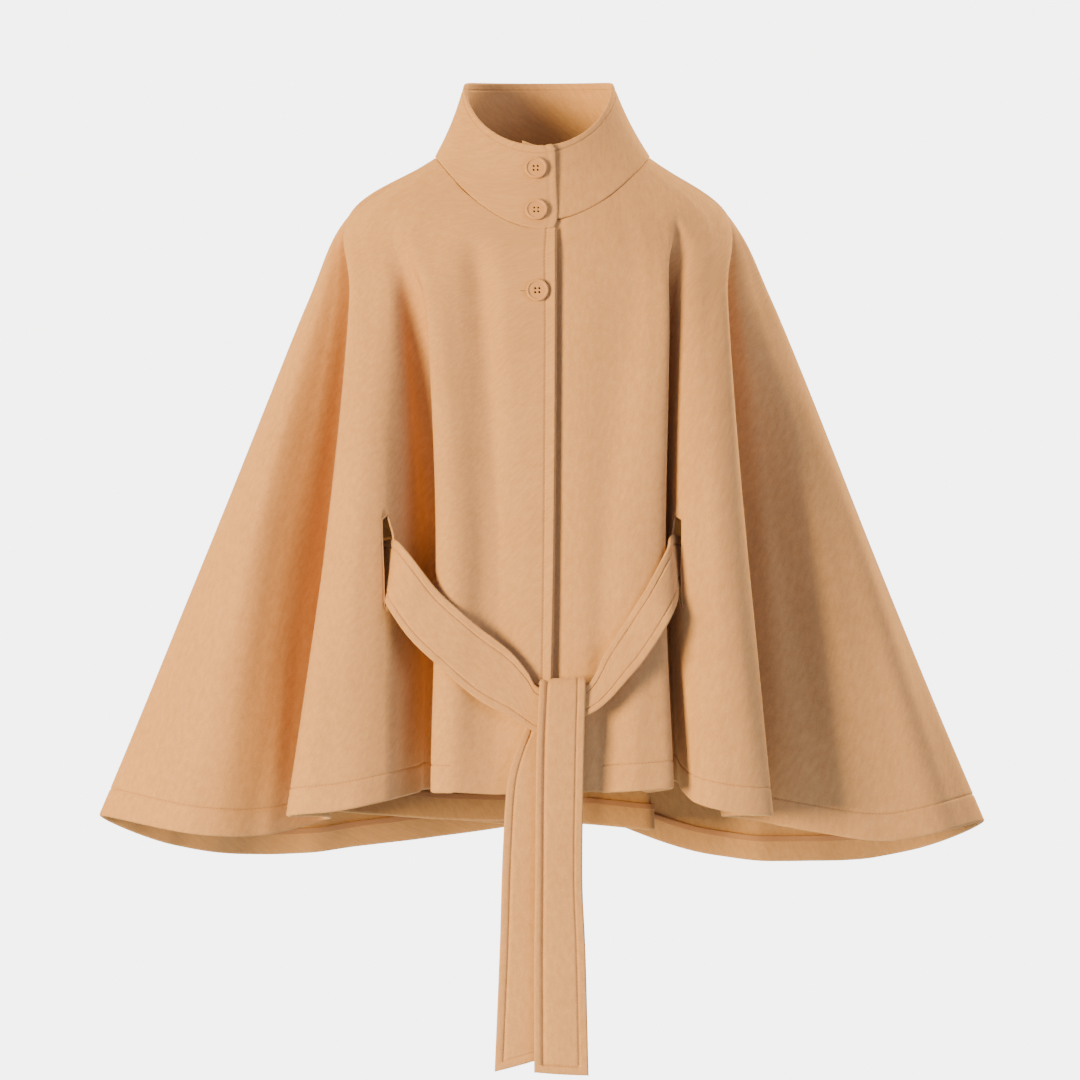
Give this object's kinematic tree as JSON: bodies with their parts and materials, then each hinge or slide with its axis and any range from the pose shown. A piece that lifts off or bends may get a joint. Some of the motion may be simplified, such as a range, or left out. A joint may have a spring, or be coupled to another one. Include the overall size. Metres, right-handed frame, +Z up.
{
  "type": "poncho",
  "caption": "Camel wool cape-shaped poncho with a buttoned funnel collar, and a belt that passes inside round the back, out through hand slits, and ties in front.",
  "frame": {"origin": "middle of the neck, level with the neck points of the shoulder seams, where the wearer's neck and shoulders hold the garment up", "axes": "+Z up along the wearer's neck, +X to the wearer's left, -Y out of the garment's front"},
  "size_m": [0.8839, 0.3571, 0.9799],
  "materials": {
    "cloth": "brushed matte felted wool",
    "satin_tape": "satin",
    "button": "semi-matte horn"
  },
  "bodies": {
    "root": {"back": "cloth", "belt_back": "cloth", "belt_front_tail": "cloth", "belt_knot": "cloth", "belt_left_arm": "cloth", "belt_rear_tail": "cloth", "belt_right_arm": "cloth", "button_front": "button", "button_middle": "button", "button_top": "button", "collar": "cloth", "front_left": "cloth", "front_right": "cloth", "hem_tape_back": "satin_tape", "hem_tape_left": "satin_tape", "hem_tape_right": "satin_tape", "placket_facing": "cloth", "slit_welt_left": "cloth", "slit_welt_right": "cloth"}
  },
  "joints": []
}
